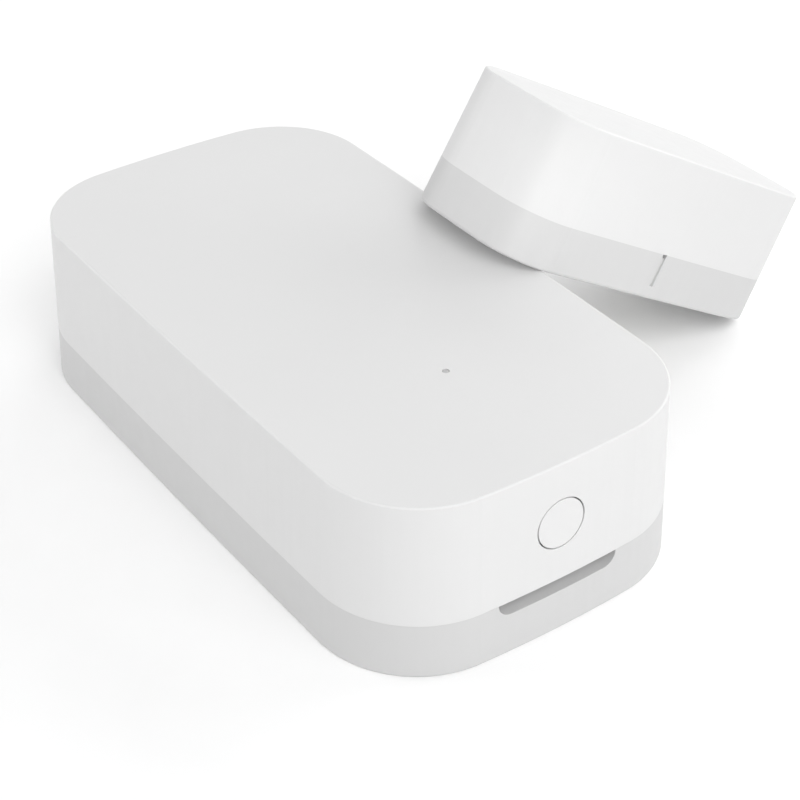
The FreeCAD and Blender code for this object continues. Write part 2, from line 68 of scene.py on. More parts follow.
# ---------------------------------------------------------------- camera
CAMERA_HEADING = 35.41      # degrees from +Y towards +X
CAMERA_DROP = 35.575        # degrees below the horizon
CAMERA_ROLL = 0.11
CAMERA_PLACE = (-48.512, -74.238, 66.310)   # millimetres
CAMERA_LENS = 82.3365       # millimetres, on a sensor of the next width
CAMERA_SENSOR = 36


def make_camera():
    heading, drop, roll = (math.radians(a) for a in (CAMERA_HEADING, CAMERA_DROP, CAMERA_ROLL))
    ahead = Vector((math.sin(heading) * math.cos(drop), math.cos(heading) * math.cos(drop), -math.sin(drop)))
    level = Vector((math.cos(heading), -math.sin(heading), 0))
    upright = level.cross(ahead)
    right = math.cos(roll) * level + math.sin(roll) * upright
    up = math.cos(roll) * upright - math.sin(roll) * level
    data = bpy.data.cameras.new("camera")
    data.sensor_width = CAMERA_SENSOR
    data.lens = CAMERA_LENS
    data.clip_start = MM
    camera = bpy.data.objects.new("camera", data)
    place = Matrix((right, up, -ahead)).transposed().to_4x4()
    place.translation = Vector(CAMERA_PLACE) * MM
    camera.matrix_world = place
    scene.collection.objects.link(camera)
    scene.camera = camera


# ---------------------------------------------------------------- light, in metres
LIGHT_DISTANCE = 0.5
LIGHT_TARGET = Vector((0.008, 0, 0.006))
LIGHT_SIZE = 0.4
WORLD_STRENGTH = 0.437
# name: (degrees from -Y towards +X, elevation, power in watts)
LIGHTS = {
    "front_left": (-20, 42, 1.28),
    "front": (15, 42, 0.44),
    "right": (80, 22, 0.65),
    "back_right": (120, 22, 0.68),
    "back": (170, 22, 0.18),
    "back_left": (-140, 22, 0.77),
}
# A narrow beam on the magnet unit's raised front corner, told in the same way
BEAM = (-46, 26, 1.9)
BEAM_TARGET = Vector((0.0125, -0.004, 0.013))
BEAM_RADIUS = 0.0095
BEAM_SOURCE = 0.005


def place_light(data, target, turn, elevation, power):
    """Hang a light LIGHT_DISTANCE away from its target and point it there."""
    a, e = math.radians(turn), math.radians(elevation)
    away = Vector((math.sin(a) * math.cos(e), -math.cos(a) * math.cos(e), math.sin(e)))
    data.energy = power
    lamp = bpy.data.objects.new(data.name, data)
    lamp.location = target + away * LIGHT_DISTANCE
    lamp.rotation_mode = "QUATERNION"
    lamp.rotation_quaternion = away.to_track_quat("Z", "Y")
    scene.collection.objects.link(lamp)


def make_lights():
    for name, setting in LIGHTS.items():
        panel = bpy.data.lights.new("light_" + name, "AREA")
        panel.shape = "DISK"
        panel.size = LIGHT_SIZE
        place_light(panel, LIGHT_TARGET, *setting)
    beam = bpy.data.lights.new("light_beam", "SPOT")
    beam.spot_size = 2 * math.atan(BEAM_RADIUS / LIGHT_DISTANCE)
    beam.spot_blend = 1.0
    beam.shadow_soft_size = BEAM_SOURCE
    place_light(beam, BEAM_TARGET, *BEAM)


def make_world():
    world = bpy.data.worlds.new("world")
    world.use_nodes = True
    background = world.node_tree.nodes["Background"]
    background.inputs["Color"].default_value = (1, 1, 1, 1)
    background.inputs["Strength"].default_value = WORLD_STRENGTH
    scene.world = world


# ---------------------------------------------------------------- materials
NOISE_RANGE = (0.3, 0.7)        # where most of a noise pattern's values lie
WORN_RANGE = (0.45, 0.6)        # the values over which a pattern goes from bare to worn
WALL_RANGE = (0.1, 0.5)         # a face's cosine to the upright over which it stops being a wall


class Look:
    """A procedural material: a Principled shader fed by patterns in the piece's own coordinates."""

    def __init__(self, name, **settings):
        self.material = bpy.data.materials.new(name)
        self.material.use_nodes = True
        tree = self.material.node_tree
        self.nodes = tree.nodes
        self.links = tree.links
        self.shader = tree.nodes["Principled BSDF"]
        coordinates = self.nodes.new("ShaderNodeTexCoord")
        self.place = coordinates.outputs["Object"]
        self.facing = coordinates.outputs["Normal"]
        self.normal = None
        for socket, value in settings.items():
            self.shader.inputs[socket.replace("_", " ")].default_value = value

    def noise(self, size, detail=3.0, stretch=(1, 1, 1), tilt=0.0):
        """Noise whose features are about size millimetres across, times stretch along each axis.
        Tilt turns those axes about Y."""
        mapping = self.nodes.new("ShaderNodeMapping")
        mapping.vector_type = "TEXTURE"
        mapping.inputs["Rotation"].default_value = (0, tilt, 0)
        mapping.inputs["Scale"].default_value = [size * MM * s for s in stretch]
        noise = self.nodes.new("ShaderNodeTexNoise")
        noise.inputs["Scale"].default_value = 1.0
        noise.inputs["Detail"].default_value = detail
        self.links.new(self.place, mapping.inputs["Vector"])
        self.links.new(mapping.outputs["Vector"], noise.inputs["Vector"])
        return noise.outputs["Fac"]

    def cells(self, size):
        """The distance from the middle of cells about size millimetres across."""
        mapping = self.nodes.new("ShaderNodeMapping")
        mapping.inputs["Scale"].default_value = [1 / (size * MM)] * 3
        voronoi = self.nodes.new("ShaderNodeTexVoronoi")
        voronoi.inputs["Scale"].default_value = 1.0
        self.links.new(self.place, mapping.inputs["Vector"])
        self.links.new(mapping.outputs["Vector"], voronoi.inputs["Vector"])
        return voronoi.outputs["Distance"]

    def walls(self, tilt):
        """1 on walls and 0 on the faces across them."""
        dot = self.nodes.new("ShaderNodeVectorMath")
        dot.operation = "DOT_PRODUCT"
        dot.inputs[1].default_value = (math.sin(tilt), 0, math.cos(tilt))
        self.links.new(self.facing, dot.inputs[0])
        return self.spread(self.maths("ABSOLUTE", dot.outputs["Value"], 0.0), *WALL_RANGE, 1, 0)

    def edge(self, pattern, cover):
        """Where the bevelled edges are worn: the mesh's edge attribute, broken up by a pattern."""
        return self.maths("MULTIPLY", self.attribute("edge"), self.spread(pattern, *WORN_RANGE, 0, cover))

    def attribute(self, name):
        node = self.nodes.new("ShaderNodeAttribute")
        node.attribute_name = name
        return node.outputs["Fac"]

    def maths(self, operation, first, second):
        node = self.nodes.new("ShaderNodeMath")
        node.operation = operation
        for socket, value in zip(node.inputs, (first, second)):
            if isinstance(value, (int, float)):
                socket.default_value = value
            else:
                self.links.new(value, socket)
        return node.outputs[0]

    def spread(self, value, low, high, to_low=0, to_high=1):
        """A value between low and high, moved to the same place between to_low and to_high."""
        node = self.nodes.new("ShaderNodeMapRange")
        limits = (("From Min", low), ("From Max", high), ("To Min", to_low), ("To Max", to_high))
        for socket, number in limits:
            node.inputs[socket].default_value = number
        self.links.new(value, node.inputs["Value"])
        return node.outputs["Result"]

    def mix(self, factor, first, second):
        """Two colours mixed; in a mix node of colours they are sockets 6 and 7, and the result is 2."""
        node = self.nodes.new("ShaderNodeMix")
        node.data_type = "RGBA"
        self.links.new(factor, node.inputs[0])
        for socket, value in ((node.inputs[6], first), (node.inputs[7], second)):
            if isinstance(value, tuple):
                socket.default_value = (*value, 1)
            else:
                self.links.new(value, socket)
        return node.outputs[2]

    def colour(self, value):
        self.links.new(value, self.shader.inputs["Base Color"])

    def roughness(self, pattern, low, high):
        self.links.new(self.spread(pattern, *NOISE_RANGE, low, high), self.shader.inputs["Roughness"])

    def bump(self, height, depth):
        """Raise the surface by up to depth millimetres."""
        node = self.nodes.new("ShaderNodeBump")
        node.inputs["Distance"].default_value = depth * MM
        self.links.new(height, node.inputs["Height"])
        if self.normal is not None:
            self.links.new(self.normal, node.inputs["Normal"])
        self.normal = node.outputs["Normal"]
        self.links.new(self.normal, self.shader.inputs["Normal"])


def grey(value):
    return (value, value, value)


def shade(colour, factor):
    return tuple(min(1.0, c * factor) for c in colour)


CLOUD_SIZE = 7.0            # millimetres, of the faint clouds in moulded plastic
CLOUD_SHADE = 0.006         # how much paler and darker they are
GRAIN_SHADE = 0.985         # the colour deep in the grain
GRAIN_COVER = 0.35          # how far the grain takes on that colour
STREAK_SIZE = 0.42          # millimetres, across a draw line
STREAK_LENGTH = 60          # of a draw line, in widths
STREAK_RANGE = (0.35, 0.65)
RUBBED_COVER = 0.7          # how much of the bevels is rubbed
PAINTED_EDGE_HIGHLIGHT = 1.05            # painted highlight: how much paler the shells' rounded edges are painted
PAINTED_SLOT_SHADE = 0.86         # painted shade: how much darker the inside of the pry slot is painted
WAVINESS_SIZE = 2.4         # millimetres, of the slow waves in a moulded face
WAVINESS_DEPTH = 1.5        # in depths of the grain


def moulded(name, colour, rough=(0.42, 0.52), grain=0.16, depth=0.0012, streak=0.0, tilt=0.0, wear=1.05):
    """Injection-moulded plastic: a fine spark-eroded grain, faint draw lines on the walls, rubbed edges, a
    painted highlight along the shells' rounded edges and painted shade inside the pry slot.
    Grain is the grain's size and depth its height, in millimetres. Streak is how much darker the draw
    lines are, and tilt is the angle about Y of a part that leans."""
    look = Look(name)
    fine = look.noise(grain, 2.0)
    clouds = look.spread(look.noise(CLOUD_SIZE, 2.0), *NOISE_RANGE)
    tone = look.mix(clouds, shade(colour, 1 - CLOUD_SHADE), shade(colour, 1 + CLOUD_SHADE))
    hollows = look.maths("MULTIPLY", look.spread(fine, *NOISE_RANGE), GRAIN_COVER)
    tone = look.mix(hollows, tone, shade(colour, GRAIN_SHADE))
    if streak:
        lines = look.spread(look.noise(STREAK_SIZE, 3.0, (1, 1, STREAK_LENGTH), tilt), *STREAK_RANGE)
        tone = look.mix(look.maths("MULTIPLY", lines, look.walls(tilt)), tone, shade(colour, 1 - streak))
    tone = look.mix(look.edge(look.noise(0.9), RUBBED_COVER), tone, shade(colour, wear))
    # painted highlight along the shells' rounded edges
    tone = look.mix(look.attribute("painted_edge_highlight"), tone, shade(colour, PAINTED_EDGE_HIGHLIGHT))
    # painted shade inside the pry slot
    look.colour(look.mix(look.attribute("painted_slot_shade"), tone, shade(colour, PAINTED_SLOT_SHADE)))
    look.roughness(look.noise(0.8, 4.0), *rough)
    look.bump(fine, depth)
    look.bump(look.noise(WAVINESS_SIZE, 1.0), depth * WAVINESS_DEPTH)
    return look.material


TARNISH_SIZE = 1.6          # millimetres
TARNISH_RANGE = (0.35, 0.65)
SHINE_SIZE = 0.5            # millimetres, of the patches of duller metal
POLISHED_COVER = 0.8        # how much of the bevels is polished
POLISHED_SHADE = 1.25       # how much paler that is


def metal(name, colour, rough=(0.2, 0.35), stretch=(1, 1, 1), size=0.1, depth=0.0008, tarnish=0.85):
    """Plated or rolled metal: a fine lay of that size and depth in millimetres, faint tarnish and
    brighter edges. Stretch is the way that the metal was rolled."""
    look = Look(name, Metallic=1.0)
    lay = look.noise(size, 3.0, stretch)
    blotches = look.spread(look.noise(TARNISH_SIZE, 4.0), *TARNISH_RANGE)
    base = look.mix(blotches, shade(colour, tarnish), colour)
    look.colour(look.mix(look.edge(look.noise(0.3), POLISHED_COVER), base, shade(colour, POLISHED_SHADE)))
    look.roughness(look.noise(SHINE_SIZE, 4.0), *rough)
    look.bump(lay, depth)
    return look.material


FOAM_CELL = 0.22            # millimetres
FOAM_DEPTH = 0.02


def foam_tape(name, colour):
    """Closed-cell foam tape: small cells under a skin, matt."""
    look = Look(name)
    cells = look.cells(FOAM_CELL)
    look.colour(look.mix(look.spread(cells, 0.1, 0.7), shade(colour, 0.93), shade(colour, 1.03)))
    look.roughness(look.noise(0.6), 0.75, 0.92)
    look.bump(cells, FOAM_DEPTH)
    look.bump(look.noise(1.8, 3.0), FOAM_DEPTH)
    return look.material


def glassy(name, colour, rough, transmission, ior):
    """Clear or diffusing glass and resin, with faint ripples from drawing or moulding."""
    look = Look(name, Transmission_Weight=transmission, IOR=ior)
    ripples = look.noise(0.8, 2.0, (1, 3, 1))
    look.colour(look.mix(look.spread(ripples, *NOISE_RANGE), shade(colour, 0.96), colour))
    look.roughness(look.noise(0.4), rough, rough + 0.06)
    look.bump(ripples, 0.002)
    return look.material


WEAVE_SIZE = 0.25           # millimetres, across a glass thread
WEAVE_LENGTH = 14           # in widths
WEAVE_SHADE = 0.15


def solder_mask(name, colour):
    """Glossy lacquer over a glass weave that shows through very slightly."""
    look = Look(name, Coat_Weight=0.35, Coat_Roughness=0.15)
    warp = look.noise(WEAVE_SIZE, 1.0, (1, WEAVE_LENGTH, 1))
    weft = look.noise(WEAVE_SIZE, 1.0, (WEAVE_LENGTH, 1, 1))
    weave = look.maths("MULTIPLY", warp, weft)
    tones = (shade(colour, 1 - WEAVE_SHADE), shade(colour, 1 + WEAVE_SHADE))
    look.colour(look.mix(look.spread(weave, 0.12, 0.4), *tones))
    look.roughness(look.noise(1.2, 4.0), 0.25, 0.4)
    look.bump(weave, 0.004)
    return look.material


MAGNET_TILT = math.radians(30)
COVER_COLOUR = grey(0.695)
BASE_COLOUR = grey(0.588)
COVER_STREAK = 0.008
BASE_STREAK = 0.009

MATERIALS = {
    "cover": moulded("cover_plastic", COVER_COLOUR, streak=COVER_STREAK),
    "base": moulded("base_plastic", BASE_COLOUR, streak=BASE_STREAK),
    "magnet_cover": moulded("magnet_cover_plastic", COVER_COLOUR, streak=COVER_STREAK, tilt=MAGNET_TILT),
    "magnet_base": moulded("magnet_base_plastic", BASE_COLOUR, streak=BASE_STREAK, tilt=MAGNET_TILT),
    "button": moulded("button_plastic", shade(COVER_COLOUR, 1.01), rough=(0.38, 0.46)),
    "foam": foam_tape("foam_tape", (0.62, 0.62, 0.60)),
    "plunger": moulded("plunger_plastic", (0.03, 0.03, 0.032), wear=1.6),
    "switch": moulded("switch_plastic", (0.045, 0.045, 0.05), wear=1.5),
    "holder": moulded("holder_plastic", (0.06, 0.062, 0.065), grain=0.12, depth=0.003, wear=1.5),
    "mask": solder_mask("solder_mask", (0.012, 0.11, 0.055)),
    "track": solder_mask("masked_copper", (0.02, 0.17, 0.085)),
    "steel": metal("steel", (0.62, 0.62, 0.63), size=0.06),
    "cell": metal("cell_steel", (0.68, 0.68, 0.67), rough=(0.22, 0.34), size=0.08, depth=0.0012,
                  tarnish=0.93),
    "copper": metal("copper_gilt", (0.78, 0.57, 0.25), rough=(0.25, 0.4), size=0.08),
    "tin": metal("tin", (0.72, 0.72, 0.74), rough=(0.25, 0.45), size=0.12, depth=0.002),
    "nickel": metal("nickel", (0.66, 0.63, 0.58), rough=(0.18, 0.3), size=0.1, depth=0.001),
    "crystal": metal("crystal_can", (0.70, 0.69, 0.66), rough=(0.18, 0.3), stretch=(12, 1, 1), size=0.05),
    "contact": metal("contact_plate", (0.70, 0.66, 0.58), rough=(0.2, 0.3), stretch=(1, 10, 1), size=0.05),
    "reed": metal("reed_metal", (0.62, 0.60, 0.57), rough=(0.22, 0.35), stretch=(1, 8, 1), size=0.05),
    "seal": moulded("cell_seal", (0.16, 0.17, 0.19), rough=(0.5, 0.65)),
    "epoxy": moulded("chip_epoxy", (0.022, 0.022, 0.024), rough=(0.5, 0.68), grain=0.08, depth=0.004,
                     wear=1.6),
    "resistor": moulded("resistor_ceramic", (0.03, 0.03, 0.034), rough=(0.25, 0.4), wear=1.4),
    "capacitor": moulded("capacitor_ceramic", (0.36, 0.25, 0.15), rough=(0.4, 0.55), grain=0.07,
                         depth=0.003),
    "led": glassy("led_resin", (0.80, 0.78, 0.66), 0.3, 0.4, 1.5),
    "pipe": glassy("light_pipe", (0.52, 0.52, 0.52), 0.35, 0.1, 1.49),
    "glass": glassy("reed_glass", (0.84, 0.93, 0.88), 0.02, 0.95, 1.5),
}


# ---------------------------------------------------------------- making pieces
WELD = 2e-7                 # metres
BEVEL_SEGMENTS = 2


def round_edges(work, edges, width, clamp):
    """Bevel some edges and mark the middle of each bevel, which is where it wears. Returns the new faces."""
    made = bmesh.ops.bevel(work, geom=edges, offset=width, offset_type="OFFSET", segments=BEVEL_SEGMENTS,
                           profile=0.5, affect="EDGES", clamp_overlap=clamp)
    bevelled = set(made["faces"])
    wear = work.verts.layers.float.new("edge")
    for vertex in work.verts:
        vertex[wear] = float(all(face in bevelled for face in vertex.link_faces))
    return bevelled


def make_piece(name, work, material, body):
    """Turn a finished bmesh into a smooth piece that rides on a body."""
    mesh = bpy.data.meshes.new(name)
    work.to_mesh(mesh)
    work.free()
    for polygon in mesh.polygons:
        polygon.use_smooth = True
    mesh.materials.append(MATERIALS[material])
    piece = bpy.data.objects.new(name, mesh)
    scene.collection.objects.link(piece)
    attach(piece, body)
    return piece


# ---------------------------------------------------------------- pieces over the CAD nodes
FLAT = math.radians(0.2)    # faces that turn less than this become one
SMOOTH = math.radians(20)   # edges that the CAD surface turns more than this across are rounded
PARTING_REACH = 0.02 * MM   # how near to the parting plane an edge counts as being on it
RIM_SLOPE = (0.2, 0.97)     # how far a rim's faces turn from a wall, as the cosine to the part's upright
RIM_WIDTH = 0.16 * MM
SLOT_HALF = 3.95            # millimetres, as are the next two
SLOT_REACH = 1.1
SLOT_SKIN = 0.2


def level_of_parting(node):
    """A point on the plane where this shell meets its other half, and the plane's normal."""
    if node.startswith("sensor"):
        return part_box("sensor_cover")[0], Vector((0, 0, 1))
    mount = next(m for m in frame["record"]["mounts"] if m["name"] == "magnet_adhesive_face")
    up = -Vector(mount["axis"]).normalized()
    heights = [up.dot(v.co) for v in frame["nodes"]["magnet_cover"].data.vertices]
    return up * min(heights), up


def is_rim(face, up):
    """True on the narrow sloping faces that round a shell's edges."""
    longest = max(edge.calc_length() for edge in face.edges)
    sloping = RIM_SLOPE[0] < abs(face.normal.dot(up)) < RIM_SLOPE[1]
    return sloping and face.calc_area() / longest < RIM_WIDTH


def in_pry_slot(point, low, parting):
    """True inside the slot in the sensor base's front, whose faces are given painted shade.
    All in millimetres: low is the base's lowest corner, and parting the height of its upper edge."""
    return (abs(point.x) < SLOT_HALF and SLOT_SKIN < point.y - low.y < SLOT_REACH
            and SLOT_SKIN / 2 < parting - point.z < SLOT_REACH)


def cad_turn(edge, layer):
    """The largest angle between the CAD normals on the two sides of an edge."""
    one, other = edge.link_loops
    return max(one[layer].angle(other.link_loop_next[layer], 0),
               one.link_loop_next[layer].angle(other[layer], 0))


def loop_normal(loop, bevelled, layer):
    """The CAD surface's normal, or on a bevel the normal of the surface that it runs into."""
    if loop.face not in bevelled:
        return loop[layer].normalized()
    beside = [other for other in loop.vert.link_loops if other.face not in bevelled]
    if beside:
        return max((other[layer].normalized() for other in beside), key=loop.face.normal.dot)
    return sum((face.normal * face.calc_area() for face in loop.vert.link_faces), Vector()).normalized()


def welded_copy(source):
    """A bmesh of a CAD node with its flat faces made one, and the layer with its normals."""
    work = bmesh.new()
    work.from_mesh(source.data)
    layer = work.loops.layers.float_vector.new("cad_normal")
    normals = [corner.vector.copy() for corner in source.data.corner_normals]
    work.faces.ensure_lookup_table()
    for face, polygon in zip(work.faces, source.data.polygons):
        for loop, index in zip(face.loops, polygon.loop_indices):
            loop[layer] = normals[index]
    bmesh.ops.remove_doubles(work, verts=work.verts, dist=WELD)
    bmesh.ops.dissolve_limit(work, angle_limit=FLAT, verts=work.verts, edges=work.edges)
    return work, layer


def mark_faces(work, name, test):
    """Give the faces that pass a test the value 1 in a new attribute, for the materials."""
    layer = work.faces.layers.float.new(name)
    for face in work.faces:
        face[layer] = float(test(face))


def refined(node, bevel, material, crisp=False):
    """A welded copy of a CAD node with finely rounded edges, which keeps the CAD surface's own normals.
    With crisp, the edge that meets the other half of the shell stays sharp."""
    source = frame["nodes"][node]
    work, layer = welded_copy(source)
    edges = [e for e in work.edges if cad_turn(e, layer) > SMOOTH]
    if crisp:
        point, up = level_of_parting(node)
        edges = [e for e in edges if any(abs(up.dot(v.co - point)) > PARTING_REACH for v in e.verts)]
    bevelled = round_edges(work, edges, bevel * MM, clamp=False)
    if crisp:
        # the narrow faces that round the shell's edges carry the painted highlight
        mark_faces(work, "painted_edge_highlight", lambda face: is_rim(face, up))
    if node == "sensor_base":
        low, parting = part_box(node)[0] / MM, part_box("sensor_cover")[0].z / MM
        # the faces inside the pry slot get painted shade
        mark_faces(work, "painted_slot_shade", lambda face: in_pry_slot(face.calc_center_median() / MM, low, parting))
    shading = [loop_normal(loop, bevelled, layer) for face in work.faces for loop in face.loops]
    piece = make_piece(node + "_shell", work, material, source["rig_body"])
    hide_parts(node)
    mesh = piece.data
    mesh.attributes.remove(mesh.attributes["cad_normal"])
    mesh.normals_split_custom_set(shading)


# node: (edge rounding in mm, material)
SHELLS = {
    "sensor_cover": (0.04, "cover"),
    "sensor_base": (0.03, "base"),
    "magnet_cover": (0.04, "magnet_cover"),
    "magnet_base": (0.03, "magnet_base"),
}
REFINED = {
    "pairing_button": (0.04, "button"),
    "sensor_adhesive_pad": (0.06, "foam"),
    "magnet_adhesive_pad": (0.06, "foam"),
    "switch_plunger": (0.08, "plunger"),
    "switch_body": (0.06, "switch"),
    "circuit_board": (0.04, "mask"),
    "board_screws": (0.05, "steel"),
    "status_led": (0.04, "led"),
    "light_pipe": (0.02, "pipe"),
    "radio_chip": (0.04, "epoxy"),
    "crystal": (0.03, "crystal"),
    "antenna": (0.015, "copper"),
    "chip_resistors": (0.03, "resistor"),
    "chip_capacitors": (0.05, "capacitor"),
    "coin_cell_can": (0.03, "cell"),
    "coin_cell_seal": (0.03, "seal"),
    "coin_cell_lid": (0.03, "cell"),
    "battery_holder": (0.06, "holder"),
    "positive_contact": (0.03, "contact"),
    "negative_contact": (0.02, "contact"),
    "bar_magnet": (0.1, "nickel"),
}
# CAD nodes that show their own meshes
KEPT = {
    "reed_glass": "glass",
    "reed_fixed_blade": "reed",
    "reed_lead": "reed",
    "reed_moving_blade": "reed",
}


def dress_nodes():
    for node, (bevel, material) in SHELLS.items():
        refined(node, bevel, material, crisp=True)
    for node, (bevel, material) in REFINED.items():
        refined(node, bevel, material)
    for node, material in KEPT.items():
        mesh = frame["nodes"][node].data
        mesh.materials.clear()
        mesh.materials.append(MATERIALS[material])


# ---------------------------------------------------------------- small shapes, in millimetres
def add_prism(work, outline, low, high):
    """A flat outline, anticlockwise seen from above, raised from low to high."""
    bottom = [work.verts.new((x, y, low)) for x, y in outline]
    top = [work.verts.new((x, y, high)) for x, y in outline]
    work.faces.new(bottom[::-1])
    work.faces.new(top)
    join_rings(work, bottom, top)


def join_rings(work, one, other):
    """Faces from each point of a ring to the same point of the next ring."""
    for i in range(len(one)):
        j = (i + 1) % len(one)
        work.faces.new((one[i], one[j], other[j], other[i]))


def add_block(work, x0, x1, y0, y1, low, high):
    add_prism(work, ((x0, y0), (x1, y0), (x1, y1), (x0, y1)), low, high)


def add_strip(work, route, width, low, high):
    """A strip of one width that follows a route of points and is mitred at its turns."""
    points = [Vector(p) for p in route]
    left, right = [], []
    for i, point in enumerate(points):
        before = (point - points[i - 1]).normalized() if i else (points[1] - point).normalized()
        after = (points[i + 1] - point).normalized() if i + 1 < len(points) else before
        side = Vector((-before.y - after.y, before.x + after.x)).normalized()
        reach = width / 2 / max(side.dot(Vector((-before.y, before.x))), 0.5)
        left.append(point + side * reach)
        right.append(point - side * reach)
    add_prism(work, right + left[::-1], low, high)


def circle(radius, segments):
    turns = (2 * math.pi * i / segments for i in range(segments))
    return [(radius * math.cos(t), radius * math.sin(t)) for t in turns]


def add_turned(work, centre, profile, segments=20):
    """A solid turned about an upright axis. The profile lists (radius, height) from the bottom to the top;
    a profile that starts and ends off the axis is closed into a ring."""
    rows = []
    for radius, height in profile:
        ring = circle(radius, segments) if radius else [(0, 0)]
        rows.append([work.verts.new((centre[0] + x, centre[1] + y, height)) for x, y in ring])
    if profile[0][0] and profile[-1][0]:
        rows.append(rows[0])
    for low, high in zip(rows, rows[1:]):
        for i in range(segments):
            j = (i + 1) % segments
            corners = [low[i % len(low)], low[j % len(low)], high[j % len(high)], high[i % len(high)]]
            work.faces.new(list(dict.fromkeys(corners)))


SHARP = math.radians(30)    # edges of a small piece that turn more than this are rounded


def detail(name, body, material, build, bevel=0.0):
    """A piece made by build in millimetres, its edges rounded by bevel, and hung on a body."""
    work = bmesh.new()
    build(work)
    bmesh.ops.recalc_face_normals(work, faces=work.faces)
    edges = [e for e in work.edges if bevel and e.calc_face_angle(0) > SHARP]
    round_edges(work, edges, bevel, clamp=True)
    bmesh.ops.scale(work, vec=(MM, MM, MM), verts=work.verts)
    piece = make_piece(name, work, material, body)
    normals = piece.modifiers.new("normals", "WEIGHTED_NORMAL")
    normals.mode = "FACE_AREA"


def span(node):
    """A CAD node's box in millimetres: lowest and highest corner."""
    low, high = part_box(node)
    return low / MM, high / MM


def middle(box):
    return (box[0] + box[1]) / 2


def connected(vertex, left):
    """The vertices of one solid, which are taken out of the set of those that are left."""
    group, to_visit = set(), [vertex]
    left.discard(vertex)
    while to_visit:
        at = to_visit.pop()
        group.add(at)
        for edge in at.link_edges:
            other = edge.other_vert(at)
            if other in left:
                left.remove(other)
                to_visit.append(other)
    return group


def solids(node):
    """The box of each separate solid in a CAD node, in millimetres, in order along X and then Y."""
    work = bmesh.new()
    work.from_mesh(frame["nodes"][node].data)
    bmesh.ops.remove_doubles(work, verts=work.verts, dist=WELD)
    left, boxes = set(work.verts), []
    while left:
        group = connected(next(iter(left)), left)
        low, high = (Vector([end(v.co[i] for v in group) for i in range(3)]) / MM for end in (min, max))
        boxes.append((low, high))
    work.free()
    return sorted(boxes, key=lambda box: (round(box[0].x, 2), round(box[0].y, 2)))


# ------------------------------------------------------------ what is on the circuit board, in millimetres
BOARD_LOW, BOARD_HIGH = span("circuit_board")
TOP, BOTTOM = BOARD_HIGH.z, BOARD_LOW.z
CHIP_LOW, CHIP_HIGH = span("radio_chip")
LED = span("status_led")
CRYSTAL = span("crystal")
SWITCH_LOW, SWITCH_HIGH = span("switch_body")
RESISTORS = solids("chip_resistors")
CAPACITORS = solids("chip_capacitors")
PASSIVES = RESISTORS + CAPACITORS
RIGHT_RESISTORS = [box for box in RESISTORS if box[0].x > CHIP_HIGH.x]
LEFT_CAPACITORS = [box for box in CAPACITORS if box[1].x < CHIP_LOW.x]

SINK = 0.01                 # how far a detail is let into what it stands on
REED_WIRE = 0.45            # across a wire of the reed switch
SWITCH_LEG = 0.95           # from the switch's front to its legs


def reed_holes():
    """Where the reed switch's two wires go through the board, front and back."""
    lead, blade = span("reed_lead"), span("reed_fixed_blade")
    return ((middle(lead).x, lead[0].y + REED_WIRE / 2), (middle(blade).x, blade[1].y - REED_WIRE / 2))


REED_HOLES = reed_holes()

LEFT, RIGHT, FRONT, BACK = (-1, 0), (1, 0), (0, -1), (0, 1)
LEADS_PER_SIDE = 8
LEAD_HALF = 0.11            # half of a lead's width
LEAD_IN = 0.3               # how far a lead reaches into the chip and out of it
LEAD_OUT = 0.35
LEAD_HEIGHT = 0.06


def chip_pins(way):
    """Where the radio chip's leads come out on one side."""
    pitch = (CHIP_HIGH.x - CHIP_LOW.x) / (LEADS_PER_SIDE + 1)
    steps = [pitch * (i + 1) for i in range(LEADS_PER_SIDE)]
    if way in (FRONT, BACK):
        y = CHIP_LOW.y if way == FRONT else CHIP_HIGH.y
        return [(CHIP_LOW.x + step, y) for step in steps]
    x = CHIP_LOW.x if way == LEFT else CHIP_HIGH.x
    return [(x, CHIP_LOW.y + step) for step in steps]


def chip_leads(work):
    for way in (LEFT, RIGHT, FRONT, BACK):
        wide = (0, LEAD_HALF) if way in (LEFT, RIGHT) else (LEAD_HALF, 0)
        for place in chip_pins(way):
            ends = [[p - w * LEAD_IN, p + w * LEAD_OUT] for p, w in zip(place, way)]
            (x0, x1), (y0, y1) = (sorted(pair) for pair in ends)
            add_block(work, x0 - wide[0], x1 + wide[0], y0 - wide[1], y1 + wide[1],
                      TOP - SINK, TOP + LEAD_HEIGHT)


TRACK_WIDTH = 0.26
TRACK_LIFT = 0.025
SHORTEST = 0.05             # a stretch of track that is shorter is left out
REED_TRACK_PAST_LED = 3.6   # along Y from the status LED's middle to where the first reed track starts
REED_TRACK_INSET = 0.25     # from a resistor's front to where the second one starts
CRYSTAL_LEG_INSET = 0.5     # from the crystal's ends
LED_TRACK_STEP = 0.4        # along Y between the ends of the status LED's two tracks
STUB_INSET = 0.1            # of a short track that leaves a resistor or capacitor
STUB_SLANT = 0.4
STUB_LENGTH = 1.0
ANTENNA_TURNS = ((1.9, 7.6), (4.4, 10.1))
ANTENNA_OVERLAP = 0.2
UNDER_ROUTES = (
    ((1.2, 12.1), (3.0, 13.9), (5.6, 13.9), (8.2, 11.3)),
    ((-1.4, 13.4), (-3.2, 15.2), (-5.4, 15.2), (-8.6, 12.0)),
    ((3.6, 13.0), (5.2, 14.6), (6.4, 14.6), (9.0, 12.0)),
    ((-3.9, -11.6), (-5.2, -10.3), (-8.6, -10.3)),
    ((0.4, -12.4), (-1.4, -14.2), (-1.4, -16.0)),
    ((3.4, -10.9), (5.4, -10.9), (8.8, -7.5)),
)


def dogleg(start, end):
    """Straight along the longer way, then slanting at 45 degrees to the end."""
    (x0, y0), (x1, y1) = start, end
    slant = min(abs(x1 - x0), abs(y1 - y0))
    turn = (x1 - math.copysign(slant, x1 - x0), y1 - math.copysign(slant, y1 - y0))
    route = [start, turn, end]
    return [p for i, p in enumerate(route) if not i or math.dist(p, route[i - 1]) > SHORTEST]


